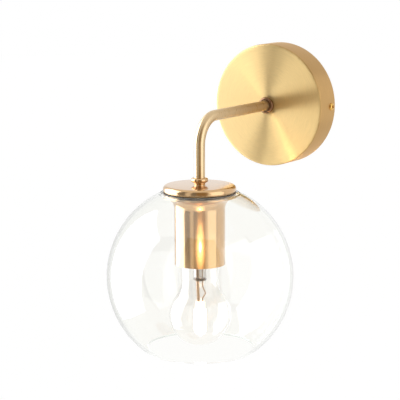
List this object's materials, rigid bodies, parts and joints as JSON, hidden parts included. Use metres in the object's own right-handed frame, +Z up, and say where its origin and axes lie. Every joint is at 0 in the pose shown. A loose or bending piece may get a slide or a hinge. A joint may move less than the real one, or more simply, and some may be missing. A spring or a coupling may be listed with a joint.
{
  "type": "globe wall sconce",
  "caption": "Wall light with a round brass plate, a bent brass arm and a clear glass globe, open below, clamped between a cap and a socket cup that holds a screw-in lamp.",
  "frame": {"origin": "centre of the wall plate where it meets the wall", "axes": "+Z up, +Y into the wall, the arm and globe stand out along -Y"},
  "size_m": [0.18, 0.245, 0.2869],
  "materials": {
    "brushed_brass": "circular brushed, clear lacquer",
    "satin_brass": "satin, clear lacquer",
    "polished_brass": "polished, clear lacquer",
    "screw_brass": "turned, polished",
    "dark_bronze": "dark bronze patina",
    "clear_glass": "hand blown, clear",
    "clear_rubber": "matt",
    "zinc_steel": "zinc plated",
    "terminal_brass": "stamped",
    "green_insulation": "extruded",
    "brown_insulation": "extruded",
    "blue_insulation": "extruded",
    "white_nylon": "moulded",
    "white_porcelain": "glazed",
    "lamp_tin": "soldered",
    "black_glass": "fused",
    "nickel_shell": "pressed, nickel plated",
    "lamp_glass": "clear",
    "quartz": "clear, lit from inside",
    "lead_metal": "drawn wire",
    "tungsten": "coiled wire"
  },
  "bodies": {
    "fixture": {"arm_tube": "satin_brass", "canopy": "brushed_brass", "canopy_screws": "screw_brass", "cap_gasket": "clear_rubber", "cup_nut": "zinc_steel", "cup_washer": "zinc_steel", "earth_screw": "terminal_brass", "earth_tag": "terminal_brass", "earth_washer": "terminal_brass", "earth_wire": "green_insulation", "flange_gasket": "clear_rubber", "glass_globe": "clear_glass", "lampholder_centre_contact": "terminal_brass", "lampholder_dome": "white_porcelain", "lampholder_insulator": "white_porcelain", "lampholder_screw_shell": "terminal_brass", "lampholder_skirt": "white_porcelain", "lampholder_terminal_screws": "terminal_brass", "lampholder_terminals": "terminal_brass", "live_wire": "brown_insulation", "lower_collar": "polished_brass", "neutral_wire": "blue_insulation", "rear_collar": "dark_bronze", "rear_nut": "zinc_steel", "rear_washer": "zinc_steel", "shade_cap": "polished_brass", "socket_cup": "polished_brass", "terminal_block": "white_nylon", "terminal_block_screw": "zinc_steel", "terminal_screws": "terminal_brass", "wall_bracket": "zinc_steel"},
    "lamp_tip": {"bulb_contact": "lamp_tin"},
    "lamp": {"bulb_insulator": "black_glass", "bulb_screw_shell": "nickel_shell", "bulb_glass": "lamp_glass", "bulb_stem": "lamp_glass", "bulb_capsule": "quartz", "bulb_lead_wires": "lead_metal", "bulb_filament": "tungsten"}
  },
  "joints": [
    {"name": "lamp_travel", "type": "slide", "parent": "fixture", "child": "lamp_tip", "axis": [0, 0, -1], "range_m": [0, 0.02]},
    {"name": "lamp_turn", "type": "hinge", "parent": "lamp_tip", "child": "lamp", "pos_m": [0, -0.155, -0.12], "axis": [0, 0, -1], "range_deg": [0, 1980]}
  ],
  "couplings": [
    {"joint": "lamp_travel", "follows": "lamp_turn", "m_per_rad": 0.00057757}
  ]
}
